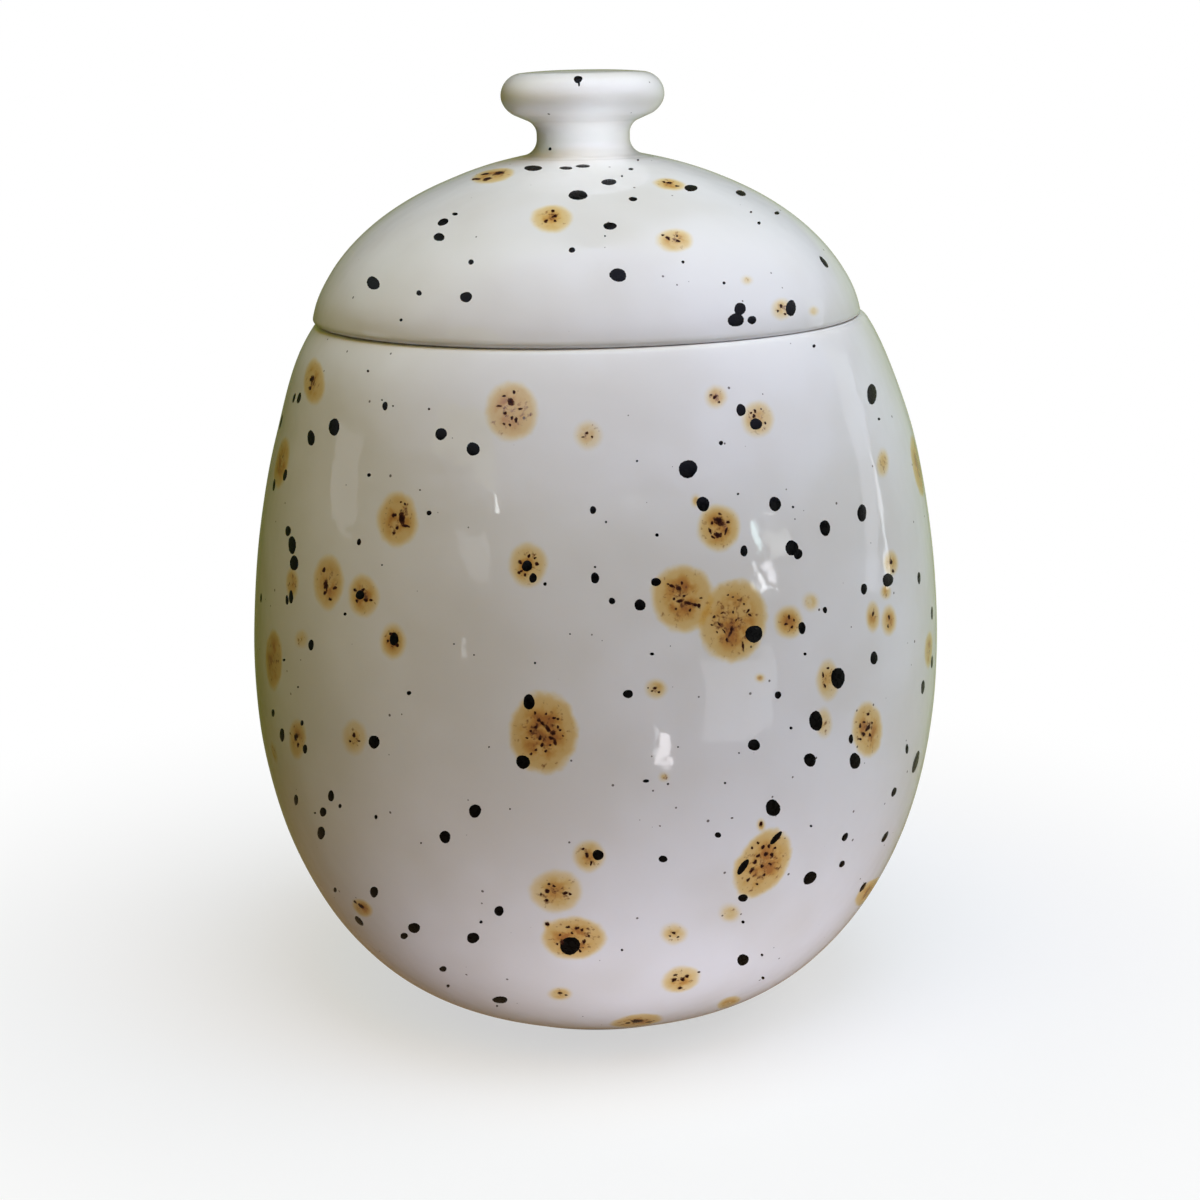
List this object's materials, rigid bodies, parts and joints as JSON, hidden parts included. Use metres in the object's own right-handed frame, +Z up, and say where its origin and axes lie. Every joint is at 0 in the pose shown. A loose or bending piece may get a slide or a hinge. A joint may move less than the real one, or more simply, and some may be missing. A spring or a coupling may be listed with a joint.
{
  "type": "biscuit jar",
  "caption": "Egg-shaped glazed stoneware biscuit jar with a domed lift-off lid and a mushroom knob.",
  "frame": {"origin": "middle of the foot ring, on the surface that the jar stands on", "axes": "+Z up along the jar's axis, +X towards the side where the rim is a little higher, -Y towards the front"},
  "size_m": [0.18, 0.18, 0.2416],
  "materials": {
    "spatter_glaze": "glossy off-white glaze with tan blotches and black spots"
  },
  "bodies": {
    "jar": {"jar_body": "spatter_glaze"},
    "lid": {"lid": "spatter_glaze", "knob": "spatter_glaze"}
  },
  "joints": [
    {"name": "lid_lift", "type": "slide", "parent": "jar", "child": "lid", "axis": [0, 0, 1], "range_m": [0, 0.12]}
  ]
}
